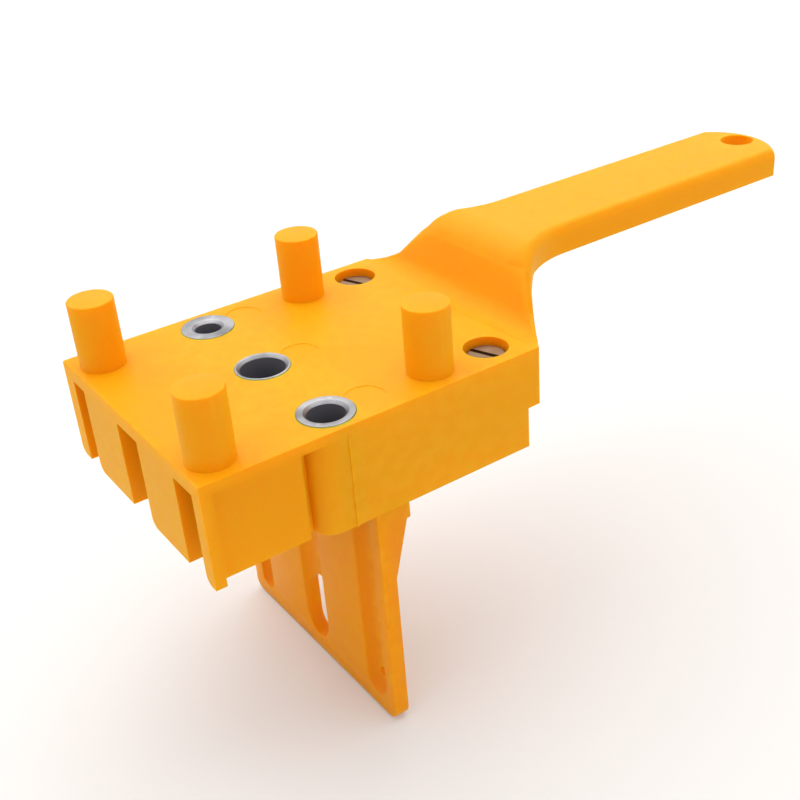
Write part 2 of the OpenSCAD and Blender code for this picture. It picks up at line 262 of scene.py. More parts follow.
def blank_material(name: str) -> tuple[bpy.types.Material, NodeSheet, bpy.types.Node]:
    """Starts a node material.

    Args:
        name: the material's name.

    Returns:
        The material, a sheet on its tree and its Principled BSDF.
    """
    material = bpy.data.materials.new(name)
    material.use_nodes = True
    tree = material.node_tree
    return material, NodeSheet(tree), tree.nodes["Principled BSDF"]


class SharedEffects:
    """Node groups that several finishes use, each built once."""

    def __init__(self) -> None:
        """Starts with no group built."""
        self._made: dict[str, bpy.types.NodeTree] = {}

    def _group(
        self,
        name: str,
        inputs: Iterable[tuple[str, float]],
        outputs: Iterable[str],
        build: Callable[[NodeSheet, bpy.types.Node, bpy.types.Node], None],
    ) -> bpy.types.NodeTree:
        """Makes a group, or returns the one that exists.

        Args:
            name: the group's name.
            inputs: name and default of each float input.
            outputs: names of the float outputs.
            build: fills the group between its input and output nodes.

        Returns:
            The node group.
        """
        if name not in self._made:
            tree = bpy.data.node_groups.new(name, "ShaderNodeTree")
            for label, default in inputs:
                socket = tree.interface.new_socket(
                    name=label, in_out="INPUT", socket_type="NodeSocketFloat"
                )
                socket.default_value = default
            for label in outputs:
                tree.interface.new_socket(
                    name=label, in_out="OUTPUT", socket_type="NodeSocketFloat"
                )
            sheet = NodeSheet(tree)
            build(sheet, sheet.add("NodeGroupInput"), sheet.add("NodeGroupOutput"))
            self._made[name] = tree
        return self._made[name]

    def grain(self) -> bpy.types.NodeTree:
        """Group of two layered noises: the fine grain of a moulded or ground surface."""

        def build(sheet: NodeSheet, start: bpy.types.Node, end: bpy.types.Node) -> None:
            """Fine noise plus a quarter of a coarser one."""
            place = sheet.object_place()
            fine = sheet.noise(place, start.outputs["Scale"], 3.0, 0.6)
            coarse = sheet.noise(place, sheet.math("MULTIPLY", start.outputs["Scale"], 0.13))
            both = sheet.math("ADD", fine, sheet.math("MULTIPLY", coarse, 0.25))
            height = sheet.math("MULTIPLY", both, start.outputs["Strength"])
            sheet.feed(end, Height=height, Patches=coarse)

        return self._group(
            "grain", (("Scale", 2500.0), ("Strength", 1.0)), ("Height", "Patches"), build
        )

    def edge_wear(self) -> bpy.types.NodeTree:
        """Group that masks rubbed edges: high where the surface is convex, broken up by noise."""

        def build(sheet: NodeSheet, start: bpy.types.Node, end: bpy.types.Node) -> None:
            """Pointiness above flat, times a noise that leaves gaps."""
            convex = sheet.add("ShaderNodeNewGeometry").outputs["Pointiness"]
            edge = sheet.ramp(convex, 0.51, 0.58, 0.0, 1.0)
            noise = sheet.noise(sheet.object_place(), start.outputs["Scale"], 4.0)
            broken = sheet.ramp(noise, 0.42, 0.62, 0.25, 1.0)
            mask = sheet.math("MULTIPLY", edge, broken)
            sheet.feed(end, Mask=sheet.math("MULTIPLY", mask, start.outputs["Amount"]))

        return self._group("edge_wear", (("Amount", 0.5), ("Scale", 260.0)), ("Mask",), build)

    def scuffs(self) -> bpy.types.NodeTree:
        """Group of faint handling marks: a noise stretched into short strokes."""

        def build(sheet: NodeSheet, start: bpy.types.Node, end: bpy.types.Node) -> None:
            """Stretched noise, kept only where it peaks."""
            turned = sheet.feed(
                sheet.add("ShaderNodeMapping"), Vector=sheet.object_place(),
                Rotation=(0.3, 0.2, 0.6), Scale=(1.0, 14.0, 5.0),
            )
            noise = sheet.noise(turned.outputs["Vector"], start.outputs["Scale"], 5.0, 0.65)
            peak = sheet.ramp(noise, 0.6, 0.72, 0.0, 1.0)
            sheet.feed(end, Mask=sheet.math("MULTIPLY", peak, start.outputs["Amount"]))

        return self._group("scuffs", (("Amount", 0.5), ("Scale", 60.0)), ("Mask",), build)


# -------------------------------------------------------------------- finishes


@dataclass(frozen=True)
class MouldedPlastic:
    """Satin dyed plastic that light enters a little, with mould grain and rubbed edges.

    The dye drifts in soft clouds towards the deep colour and is pale where edges are
    rubbed. light_depth is how far light travels inside, times light_reach for each colour.
    """

    name: str
    slot: str
    dye: tuple[float, float, float] = (0.93, 0.388, 0.003)
    pale: tuple[float, float, float] = (0.98, 0.45, 0.012)
    deep: tuple[float, float, float] = (0.91, 0.35, 0.002)
    roughness: float = 0.5
    grain_scale: float = 2600.0
    light_depth: float = 2.5 * MM
    light_reach: tuple[float, float, float] = (1.0, 0.22, 0.02)

    def material(self, effects: SharedEffects) -> bpy.types.Material:
        """Builds the node material.

        Args:
            effects: the shared node groups.

        Returns:
            The material.
        """
        material, sheet, shader = blank_material(self.name)
        grain = sheet.effect(effects.grain(), Scale=self.grain_scale, Strength=1.0).outputs
        wear = sheet.effect(effects.edge_wear(), Amount=0.45, Scale=300.0).outputs
        scuffs = sheet.effect(effects.scuffs(), Amount=0.6, Scale=45.0).outputs
        clouds = sheet.ramp(sheet.noise(sheet.object_place(), 28.0), 0.35, 0.68, 0.0, 0.45)
        dyed = sheet.mix(clouds, (*self.dye, 1.0), (*self.deep, 1.0))
        worn = sheet.mix(wear["Mask"], dyed, (*self.pale, 1.0))
        patchy = sheet.ramp(grain["Patches"], 0.3, 0.7, -0.04, 0.05)
        rough = sheet.math("ADD", patchy, self.roughness)
        rough = sheet.math("ADD", rough, sheet.math("MULTIPLY", scuffs["Mask"], 0.12))
        bump = sheet.feed(
            sheet.add("ShaderNodeBump"), Height=grain["Height"], Strength=0.03,
            Distance=0.05 * MM,
        )
        sheet.feed(shader, Base_Color=worn, Roughness=rough, Normal=bump.outputs["Normal"])
        shader.inputs["Specular IOR Level"].default_value = 0.1
        shader.inputs["Subsurface Weight"].default_value = 1.0
        shader.inputs["Subsurface Radius"].default_value = self.light_reach
        shader.inputs["Subsurface Scale"].default_value = self.light_depth
        shader.inputs["IOR"].default_value = 1.5
        return material


@dataclass(frozen=True)
class TurnedSteel:
    """Steel turned or ground, with fine tool rings that follow the piece's own UV map.

    Stains drift towards the dark colour. Where the attribute bore_shade marks a bore, shade is
    painted in: the bore takes the dark colour bore_shade_colour and almost no shine.
    """

    name: str
    slot: str
    tint: tuple[float, float, float] = (0.62, 0.62, 0.63)
    dark: tuple[float, float, float] = (0.3, 0.29, 0.28)
    roughness: float = 0.27
    rings: float = 160.0
    stain: float = 0.35
    # painted shade: the dark colour given to the inside of a bore
    bore_shade_colour: tuple[float, float, float] = (0.11, 0.11, 0.13)

    def material(self, effects: SharedEffects) -> bpy.types.Material:
        """Builds the node material.

        Args:
            effects: the shared node groups.

        Returns:
            The material.
        """
        material, sheet, shader = blank_material(self.name)
        lathe_map = sheet.add("ShaderNodeUVMap", uv_map="turned").outputs["UV"]
        turned = sheet.feed(sheet.add("ShaderNodeSeparateXYZ"), Vector=lathe_map).outputs
        ring_place = sheet.feed(
            sheet.add("ShaderNodeCombineXYZ"), X=sheet.math("MULTIPLY", turned["Y"], self.rings),
            Y=sheet.math("MULTIPLY", turned["X"], 3.0),
        )
        rings = sheet.noise(ring_place.outputs["Vector"], 1.0, 3.0)
        grain = sheet.effect(effects.grain(), Scale=900.0, Strength=1.0).outputs
        wear = sheet.effect(effects.edge_wear(), Amount=0.5, Scale=500.0).outputs
        stained = sheet.ramp(grain["Patches"], 0.42, 0.72, 0.0, self.stain)
        colour = sheet.mix(stained, (*self.tint, 1.0), (*self.dark, 1.0))
        # Painted shade: the bore is darkened and made non-metallic, standing in for the shade
        # inside the hole.
        inside = sheet.add("ShaderNodeAttribute", attribute_name="bore_shade").outputs["Fac"]
        bore_shade_mask = sheet.math("MULTIPLY", inside, 0.92)
        colour = sheet.mix(bore_shade_mask, colour, (*self.bore_shade_colour, 1.0))
        bright = tuple(min(1.0, 1.25 * c) for c in self.tint)
        colour = sheet.mix(wear["Mask"], colour, (*bright, 1.0))
        rough = sheet.math("ADD", sheet.ramp(rings, 0.3, 0.7, -0.06, 0.1), self.roughness)
        bump = sheet.feed(
            sheet.add("ShaderNodeBump"), Height=rings, Strength=0.16, Distance=0.08 * MM
        )
        sheet.feed(
            shader, Base_Color=colour, Metallic=sheet.math("SUBTRACT", 1.0, bore_shade_mask),
            Roughness=rough, Normal=bump.outputs["Normal"],
        )
        return material


class FinishShelf:
    """Builds each finish once and hands out its material."""

    def __init__(self, effects: SharedEffects) -> None:
        """Keeps the shared effects."""
        self._effects = effects
        self._made: dict[str, bpy.types.Material] = {}

    def of(self, finish: MouldedPlastic | TurnedSteel) -> bpy.types.Material:
        """Returns the finish's material, built at its first use.

        Args:
            finish: the finish that is wanted.

        Returns:
            Its material.
        """
        if finish.name not in self._made:
            self._made[finish.name] = finish.material(self._effects)
        return self._made[finish.name]


BODY_PLASTIC = MouldedPlastic("body_plastic", "orange_plastic")
# Painted shade: the fence is dyed redder and darker than the body, standing in for the shade and
# orange bounce light on its front face.
SHADED_FENCE_PLASTIC = MouldedPlastic(
    "fence_plastic", "orange_plastic", dye=(0.9, 0.32, 0.003), roughness=0.42
)
BUSH_STEEL = TurnedSteel(
    "bush_steel", "bush_steel", tint=(0.38, 0.38, 0.4), dark=(0.12, 0.12, 0.13), roughness=0.33,
    stain=0.85,
)
# Painted reflection: the brown-orange tint stands in for the orange plastic reflected in the screw
# heads.
REFLECTION_TINTED_SCREW_STEEL = TurnedSteel(
    "screw_steel", "screw_steel", tint=(0.27, 0.185, 0.115), dark=(0.13, 0.085, 0.045),
    roughness=0.42, stain=0.7,
)
ZINC_STEEL = TurnedSteel(
    "zinc_steel", "zinc_steel", tint=(0.55, 0.57, 0.6), dark=(0.36, 0.37, 0.4), roughness=0.33
)


# --------------------------------------------------------------- mesh building


def grid_faces(rows: int, columns: int, wrap_rows: bool, wrap_columns: bool) -> np.ndarray:
    """Quads of a grid whose points are numbered row by row.

    Args:
        rows: number of rows of points.
        columns: number of points in a row.
        wrap_rows: whether the last row joins the first.
        wrap_columns: whether the last column joins the first.

    Returns:
        Array of four point numbers a face.
    """
    r = np.arange(rows if wrap_rows else rows - 1)
    c = np.arange(columns if wrap_columns else columns - 1)
    i, j = np.meshgrid(r, c, indexing="ij")
    down, across = (i + 1) % rows, (j + 1) % columns
    quads = (i * columns + j, i * columns + across, down * columns + across, down * columns + j)
    return np.stack([q.ravel() for q in quads], axis=1)


def linked(name: str, data: Any) -> bpy.types.Object:
    """Makes an object of a mesh, lamp or camera at the origin and links it to the scene."""
    made = bpy.data.objects.new(name, data)
    bpy.context.scene.collection.objects.link(made)
    return made


def map_points(mesh: bpy.types.Mesh, uv: np.ndarray) -> None:
    """Gives a mesh the map "turned", whose coordinates are the same at all of a point's corners.

    Args:
        mesh: the mesh.
        uv: two map coordinates for each point.
    """
    layer = mesh.uv_layers.new(name="turned")
    corners = np.empty(len(mesh.loops), dtype=np.int32)
    mesh.loops.foreach_get("vertex_index", corners)
    layer.data.foreach_set("uv", uv[corners].astype(np.float32).ravel())


def new_piece(
    name: str,
    points: np.ndarray,
    faces: list[list[int]] | np.ndarray,
    material: bpy.types.Material,
    uv: np.ndarray | None = None,
) -> bpy.types.Object:
    """Makes an object at the origin from points in the jig's frame.

    Args:
        name: the object's name.
        points: array of points in metres.
        faces: point numbers of each face.
        material: the finish.
        uv: two map coordinates for each point, stored as the map "turned".

    Returns:
        The object, linked to the scene.
    """
    mesh = bpy.data.meshes.new(name)
    face_list = faces.tolist() if isinstance(faces, np.ndarray) else faces
    mesh.from_pydata(points.tolist(), [], face_list)
    mesh.materials.append(material)
    mesh.update()
    if uv is not None:
        map_points(mesh, uv)
    return linked(name, mesh)


@contextmanager
def editing(mesh: bpy.types.Mesh) -> Iterator[bmesh.types.BMesh]:
    """Opens a mesh for edits and writes it back when they are done.

    Args:
        mesh: the mesh.

    Yields:
        The mesh as a BMesh.
    """
    work = bmesh.new()
    work.from_mesh(mesh)
    yield work
    work.to_mesh(mesh)
    work.free()


def tidy_normals(piece: bpy.types.Object, sharp_deg: float) -> None:
    """Merges doubles, turns the faces outwards and marks edges over an angle as sharp.

    Args:
        piece: the object whose mesh is tidied.
        sharp_deg: smallest angle of a sharp edge, in degrees.
    """
    with editing(piece.data) as work:
        bmesh.ops.remove_doubles(work, verts=work.verts, dist=MERGE_REACH)
        bmesh.ops.recalc_face_normals(work, faces=work.faces)
        mark_sharp(work, sharp_deg)


def mark_sharp(work: bmesh.types.BMesh, sharp_deg: float = SHARP_DEG) -> None:
    """Shades every face smooth and keeps edges over an angle sharp.

    Args:
        work: the mesh that is marked.
        sharp_deg: smallest angle of a sharp edge, in degrees.
    """
    limit = math.radians(sharp_deg)
    for face in work.faces:
        face.smooth = True
    for edge in work.edges:
        edge.smooth = len(edge.link_faces) == 2 and edge.calc_face_angle(0.0) < limit


def softened_profile(
    corners: list[tuple[float, float]], radius: float, steps: int = 4
) -> np.ndarray:
    """Rounds the corners of a closed profile.

    Each corner is replaced by the quadratic curve that starts and ends a radius away from
    it along its two sides, or two fifths of a side where that is shorter.

    Args:
        corners: radius and height of each corner, in metres.
        radius: how far the rounding reaches.
        steps: segments in a rounding.

    Returns:
        Array of radius and height along the closed profile.
    """
    p = np.array(corners, dtype=float)
    before, after = np.roll(p, 1, axis=0) - p, np.roll(p, -1, axis=0) - p
    reach_b, reach_a = np.linalg.norm(before, axis=1), np.linalg.norm(after, axis=1)
    start = p + before * (np.minimum(radius, 0.4 * reach_b) / reach_b)[:, None]
    end = p + after * (np.minimum(radius, 0.4 * reach_a) / reach_a)[:, None]
    t = np.linspace(0.0, 1.0, steps + 1)[None, :, None]
    curve = (1 - t) ** 2 * start[:, None] + 2 * t * (1 - t) * p[:, None] + t**2 * end[:, None]
    return curve.reshape(-1, 2)


def turned_ring(
    name: str,
    corners: list[tuple[float, float]],
    centre: tuple[float, float],
    soften: float,
    material: bpy.types.Material,
    segments: int = 96,
) -> bpy.types.Object:
    """Turns a closed profile about an upright axis into a closed ring.

    A point is (x + r cos a, y + r sin a, z) for profile radius r and height z and angle a.

    Args:
        name: the object's name.
        corners: radius and height of the profile's corners.
        centre: x and y of the axis.
        soften: rounding of the corners.
        material: the finish.
        segments: steps round the axis.

    Returns:
        The ring.
    """
    profile = softened_profile(corners, soften)
    angle = np.arange(segments) * TURN / segments
    r, z = profile[:, 0][:, None], profile[:, 1][:, None]
    x = centre[0] + r * np.cos(angle)[None, :]
    y = centre[1] + r * np.sin(angle)[None, :]
    points = np.stack([x, y, np.broadcast_to(z, x.shape)], axis=-1).reshape(-1, 3)
    step = np.linalg.norm(np.diff(profile, axis=0, append=profile[:1]), axis=1)
    length = np.concatenate([[0.0], np.cumsum(step)[:-1]])
    u, v = np.meshgrid(angle / TURN, length / MM, indexing="xy")
    uv = np.stack([u, v], axis=-1).reshape(-1, 2)
    faces = grid_faces(len(profile), segments, True, True)
    piece = new_piece(name, points, faces, material, uv)
    tidy_normals(piece, 50.0)
    return piece


@dataclass(frozen=True)
class ThreadForm:
    """A screw thread: its pitch, its depth as a share of the pitch, and how it runs out."""

    pitch: float = 0.8 * MM
    depth: float = 0.61
    flank: float = 1.25
    crest: float = 0.125
    run_out: float = 0.35
    lead_in: float = 0.6
    segments: int = 48
    rows_a_turn: int = 10

    def radii(self, radius: float, z: np.ndarray, angle: np.ndarray) -> np.ndarray:
        """Radius of a threaded bar at each height and angle.

        It is the bar's radius less the thread's depth times a flattened triangle wave of
        z / pitch - angle / turn. The wave fades out at both ends, and the first part of a
        turn is drawn in by half the depth.

        Args:
            radius: crest radius.
            z: heights, from the lower end to the upper one.
            angle: angles round the axis.

        Returns:
            One row of radii for each height.
        """
        phase = z[:, None] / self.pitch - angle[None, :] / TURN
        wave = np.abs(2.0 * (phase - np.floor(phase + 0.5)))
        wave = np.clip(self.flank * wave - self.crest, 0.0, 1.0)
        fade = np.clip(np.minimum(z - z[0], z[-1] - z) / self.pitch, 0.0, 1.0)[:, None]
        lead = np.clip((z - z[0]) / (self.lead_in * self.pitch), 0.0, 1.0)[:, None]
        depth = self.depth * self.pitch
        cut = depth * wave * (self.run_out + (1 - self.run_out) * fade)
        return (radius - cut) - 0.5 * depth * (1 - lead)


def threaded_rod(
    centre: tuple[float, float],
    low: float,
    high: float,
    radius: float,
    thread: ThreadForm,
    material: bpy.types.Material,
) -> bpy.types.Object:
    """A round bar with a helical thread, closed at both ends by fans of triangles.

    A point is (x + r cos a, y + r sin a, z) for angle a, height z and the thread's radius r.

    Args:
        centre: x and y of the axis.
        low: lower end.
        high: upper end.
        radius: crest radius.
        thread: the thread's form.
        material: the finish.

    Returns:
        The threaded bar.
    """
    segments = thread.segments
    rows = int(round((high - low) / thread.pitch * thread.rows_a_turn)) + 1
    angle, z = np.arange(segments) * TURN / segments, np.linspace(low, high, rows)
    r = thread.radii(radius, z, angle)
    x, y = centre[0] + r * np.cos(angle), centre[1] + r * np.sin(angle)
    side_points = np.stack([x, y, np.broadcast_to(z[:, None], r.shape)], axis=-1).reshape(-1, 3)
    points = np.concatenate([side_points, [[*centre, low], [*centre, high]]])
    u, v = np.meshgrid(angle / TURN, (z - low) / MM, indexing="xy")
    uv = np.concatenate([np.stack([u, v], axis=-1).reshape(-1, 2), [[0.5, 0.0], [0.5, 1.0]]])
    ring = np.arange(segments)
    after, top = (ring + 1) % segments, (rows - 1) * segments
    low_hub, high_hub = (np.full(segments, len(side_points) + end) for end in (0, 1))
    faces = grid_faces(rows, segments, False, True).tolist()
    faces += np.stack([after, ring, low_hub], axis=1).tolist()
    faces += np.stack([top + ring, top + after, high_hub], axis=1).tolist()
    piece = new_piece("threaded_shank", points, faces, material, uv)
    tidy_normals(piece, 60.0)
    return piece


def merged_copy(
    node: bpy.types.Object, name: str, material: bpy.types.Material
) -> bpy.types.Object:
    """Copies a CAD node and joins its loose triangles into faces.

    Args:
        node: the CAD node.
        name: name of the copy.
        material: the finish.

    Returns:
        The copy, with its place in its mesh.
    """
    mesh = node.data.copy()
    mesh.name = name
    with editing(mesh) as work:
        bmesh.ops.remove_doubles(work, verts=work.verts, dist=MERGE_REACH)
        bmesh.ops.dissolve_degenerate(work, dist=MERGE_REACH / 2, edges=work.edges)
        bmesh.ops.dissolve_limit(
            work, angle_limit=math.radians(0.6), verts=work.verts, edges=work.edges
        )
        mark_sharp(work)
    mesh.materials.clear()
    mesh.materials.append(material)
    return linked(name, mesh)


def round_edges(
    piece: bpy.types.Object,
    width: float,
    segments: int,
    chosen: Callable[[bmesh.types.BMEdge], bool],
) -> None:
    """Rounds the chosen sharp edges of a merged copy.

    Args:
        piece: the object.
        width: how far the rounding reaches on both sides.
        segments: steps in the rounding.
        chosen: says which edges are rounded.
    """
    with editing(piece.data) as work:
        edges = [e for e in work.edges if len(e.link_faces) == 2 and chosen(e)]
        bmesh.ops.bevel(
            work, geom=edges, offset=width, offset_type="OFFSET", segments=segments,
            profile=0.5, affect="EDGES", clamp_overlap=False, miter_outer="ARC",
        )
        mark_sharp(work)


def stand_in(
    piece: bpy.types.Object, body: str, node: str
) -> bpy.types.Object:
    """Lets a piece ride on a body and stand for the CAD node that it shows.

    Args:
        piece: the piece.
        body: the body that it rides on.
        node: the CAD node that it replaces.

    Returns:
        The same piece.
    """
    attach(piece, body)
    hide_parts(node)
    return piece


# ------------------------------------------------------------- neck and handle


def arc_points(
    centre: tuple[float, float], radius: float, start_deg: float, end_deg: float, steps: int = 20
) -> np.ndarray:
    """Points of an arc: centre plus the radius times cosine and sine of evenly spaced angles.

    Args:
        centre: the arc's centre.
        radius: its radius.
        start_deg: first angle.
        end_deg: last angle.
        steps: number of segments.

    Returns:
        Array of points.
    """
    angle = np.radians(np.linspace(start_deg, end_deg, steps + 1))
    return np.array(centre) + radius * np.stack([np.cos(angle), np.sin(angle)], axis=1)


def bend_points(
    p: Iterable[float], q: Iterable[float], s: Iterable[float], steps: int = 20
) -> np.ndarray:
    """Points of the quadratic curve that leaves p towards q and arrives at s.

    Args:
        p: start.
        q: the point that the curve bends towards.
        s: end.
        steps: number of segments.

    Returns:
        Array of points.
    """
    a, b, c = (np.array(v, float) for v in (p, q, s))
    t = np.linspace(0.0, 1.0, steps + 1)[:, None]
    return (1 - t) ** 2 * a + 2 * t * (1 - t) * b + t**2 * c


def signed_distance(points: np.ndarray, outline: np.ndarray) -> np.ndarray:
    """Distance from points to a closed outline, negative inside.

    The distance is the least over the outline's segments; a point is inside when a ray
    from it crosses the segments an odd number of times.

    Args:
        points: array of points in the plane.
        outline: corners of the outline.

    Returns:
        One distance a point.
    """
    a, b = outline, np.roll(outline, -1, axis=0)
    edge = b - a
    rel = points[:, None, :] - a[None]
    share = np.clip((rel * edge).sum(-1) / np.maximum((edge**2).sum(-1), 1e-18), 0.0, 1.0)
    gap = np.sqrt((((rel - share[..., None] * edge) ** 2).sum(-1)).min(axis=1))
    x, y = points[:, :1], points[:, 1:]
    spans = (a[:, 1] > y) != (b[:, 1] > y)
    rise = np.where(np.abs(edge[:, 1]) < 1e-15, 1e-15, edge[:, 1])
    cross = spans & (x < a[:, 0] + (y - a[:, 1]) / rise * edge[:, 0])
    return np.where(cross.sum(axis=1) % 2 == 1, -gap, gap)


def rounded_max(a: np.ndarray, b: np.ndarray, radius: np.ndarray) -> np.ndarray:
    """Larger of two distances, with the corner where both are near zero rounded.

    It is the length of the two distances after the radius is added and negatives are cut,
    less the radius, or the plain maximum where that lies deeper than the radius.

    Args:
        a: first distance.
        b: second distance.
        radius: rounding at each point.

    Returns:
        The rounded maximum.
    """
    outside = np.hypot(np.maximum(a + radius, 0.0), np.maximum(b + radius, 0.0))
    return np.minimum(np.maximum(a, b), -radius) + outside


@dataclass
class NeckForm:
    """Outer form of the plate, neck and handle from three outlines, in metres.

    The plan has flared sides (slope_deg, neck_r) and a tip bulged by tip_bulge. The side
    view climbs by rise over face_run from face_start, out of a foot of radius foot_r, and
    settles on the handle. The front view slopes from shoulder_in to a flat crown. The last
    fields are the roundings, and the lengths over which they fade.
    """

    half_w: float = 33.7 * MM
    back_len: float = 49.7 * MM
    handle_half: float = 12.7 * MM
    rise: float = 14.6 * MM
    reach: float = 156.2 * MM
    tip_bulge: float = 6.2 * MM
    slope_deg: float = 55.2
    neck_r: float = 22.0 * MM
    face_run: float = 6.4 * MM
    face_start: float = 52.8 * MM
    foot_r: float = 6.0 * MM
    climb: float = 0.64
    settle: float = 2.1
    crown: float = 0.55
    shoulder_in: float = 1.8 * MM
    shoulder: float = 0.8
    depth: float = 30.0 * MM
    neck_end: float = 82.0 * MM
    edge_r: float = 0.3 * MM
    neck_edge_r: float = 2.1 * MM
    shoulder_r: float = 5.0 * MM
    crown_fade: float = 4.0 * MM
    plate_fade: float = 3.0 * MM
    plate_lift: float = 0.2 * MM
    neck_fade: float = 7.0 * MM

    def plan(self) -> np.ndarray:
        """Outline seen from above: flared sides, straight handle, rounded tip."""
        slope = math.radians(self.slope_deg)
        start = self.back_len + (self.half_w - self.handle_half) / math.tan(slope)
        start += self.neck_r * math.tan(slope / 2)
        flare = arc_points(
            (self.handle_half + self.neck_r, start), self.neck_r, 180 + self.slope_deg, 180
        )
        side_y = flare[0][1] - (self.half_w - flare[0][0]) / math.tan(slope)
        tip_r = (self.handle_half**2 + self.tip_bulge**2) / (2 * self.tip_bulge)
        tip_a = math.degrees(math.asin(self.handle_half / tip_r))
        tip = arc_points((0.0, self.reach - tip_r), tip_r, 90 - tip_a, 90)
        low = [[self.half_w, -self.reach], [self.half_w, side_y]]
        return self._both_sides(np.concatenate([low, flare, tip]))

    def side(self) -> np.ndarray:
        """Outline seen from the side, as y and z: plate, soft foot, climb and handle."""
        lean = math.atan2(self.rise, self.face_run)
        foot = self.foot_r * math.tan(lean / 2)
        y = self.face_start
        foot_curve = bend_points(
            (y - foot, 0.0), (y, 0.0),
            (y + foot * math.cos(lean), foot * math.sin(lean)),
        )
        crest = bend_points(
            (y + self.face_run * self.climb, self.rise * self.climb),
            (y + self.face_run, self.rise), (y + self.face_run * self.settle, self.rise),
        )
        first = [[-self.reach, -self.depth], [-self.reach, 0.0]]
        last = [[2 * self.reach, self.rise], [2 * self.reach, -self.depth]]
        return np.concatenate([first, foot_curve, crest, last])

    def front(self) -> np.ndarray:
        """Outline seen from the front, as x and z: sloping shoulders and a flat crown."""
        side, crown = self.half_w - self.shoulder_in, self.crown * 2 * self.handle_half
        arch = bend_points(
            (side, 0.0), ((side + crown) / 2, self.shoulder * self.rise), (crown, self.rise)
        )
        low = [[self.half_w, -self.depth], [self.half_w, 0.0]]
        return self._both_sides(np.concatenate([low, arch]))

    def _both_sides(self, right: np.ndarray) -> np.ndarray:
        """The right half of an outline and its mirror image."""
        return np.concatenate([right, right[::-1] * np.array([-1.0, 1.0])])

    def distances(self, points: np.ndarray) -> tuple[np.ndarray, np.ndarray, np.ndarray]:
        """Signed distances of points to the plan, side and front outlines."""
        return (
            signed_distance(points[:, [0, 1]], self.plan()),
            signed_distance(points[:, [1, 2]], self.side()),
            signed_distance(points[:, [0, 2]], self.front()),
        )

    def rounded(self, points: np.ndarray) -> np.ndarray:
        """Signed distance to the form with its edges rounded.

        The side and front outlines meet in a rounding that fades out on the crown and at
        the plate, and their solid meets the plan in one that grows along the neck.

        Args:
            points: array of points.

        Returns:
            One distance a point.
        """
        plan, side, front = self.distances(points)
        level = np.clip((self.rise - points[:, 2]) / self.crown_fade, 0.0, 1.0)
        level *= np.clip((points[:, 2] + self.plate_lift) / self.plate_fade, 0.0, 1.0)
        upper = rounded_max(side, front, self.shoulder_r * level + 0.001 * MM)
        along = np.clip((points[:, 1] - self.back_len) / self.neck_fade, 0.0, 1.0)
        along = along * along * (3 - 2 * along)
        return rounded_max(plan, upper, self.edge_r + (self.neck_edge_r - self.edge_r) * along)

    def holds(self, points: np.ndarray) -> np.ndarray:
        """Whether each point lies on the form's sharp outer faces."""
        return np.abs(np.max(np.stack(self.distances(points)), axis=0)) < ON_FORM

    def soften(self, points: np.ndarray) -> np.ndarray:
        """Moves points of the outer faces onto the rounded form.

        Each point goes down the gradient of the rounded distance, worked out by central
        differences, three times.

        Args:
            points: array of points on the sharp form.

        Returns:
            The moved points.
        """
        moved, h = points.copy(), 0.02 * MM
        for _ in range(3):
            value = self.rounded(moved)
            rises = [self.rounded(moved + d) - self.rounded(moved - d) for d in np.eye(3) * h]
            slope = np.stack([rise / (2 * h) for rise in rises], axis=1)
            size = np.maximum((slope**2).sum(axis=1), 0.25)
            moved -= slope * (value / size)[:, None]
        return moved


def vertex_places(work: bmesh.types.BMesh) -> np.ndarray:
    """Places of a mesh's points as an array."""
    return np.array([v.co[:] for v in work.verts], dtype=float)


def refine_outer(
    work: bmesh.types.BMesh, form: NeckForm, start_y: float, longest: float, plain: float = 6.0
) -> None:
    """Splits the long edges on the outer faces of the form behind a given y.

    On the neck every long edge is split, and on the straight handle an edge where a
    rounding moves one of its ends by more than 0.01 mm. Elsewhere an edge may be several
    lengths long. Nine rounds halve even the handle's longest edge often enough.

    Args:
        work: the mesh that is refined.
        form: the form whose faces are meant.
        start_y: only edges behind it are split.
        longest: greatest length that stays whole.
        plain: how many such lengths an edge may have where no rounding runs.
    """
    bmesh.ops.triangulate(work, faces=work.faces)
    for _ in range(9):
        work.verts.ensure_lookup_table()
        work.verts.index_update()
        places = vertex_places(work)
        near, rounding = np.zeros(len(places), bool), np.zeros(len(places), bool)
        behind = np.flatnonzero(places[:, 1] > start_y)
        behind = behind[form.holds(places[behind])]
        near[behind] = True
        rounding[behind] = form.rounded(places[behind]) > 0.01 * MM
        rounding[behind[places[behind][:, 1] < form.neck_end]] = True
        ends = np.array([[v.index for v in e.verts] for e in work.edges])
        length = np.linalg.norm(places[ends[:, 0]] - places[ends[:, 1]], axis=1)
        split = near[ends].all(axis=1) & (length > longest)
        split &= rounding[ends].any(axis=1) | (length > plain * longest)
        long_edges = [e for e, wanted in zip(work.edges, split.tolist()) if wanted]
        if not long_edges:
            break
        bmesh.ops.subdivide_edges(work, edges=long_edges, cuts=1)
        bmesh.ops.triangulate(work, faces=[f for f in work.faces if len(f.verts) > 3])


# ---------------------------------------------------------------- the assembly


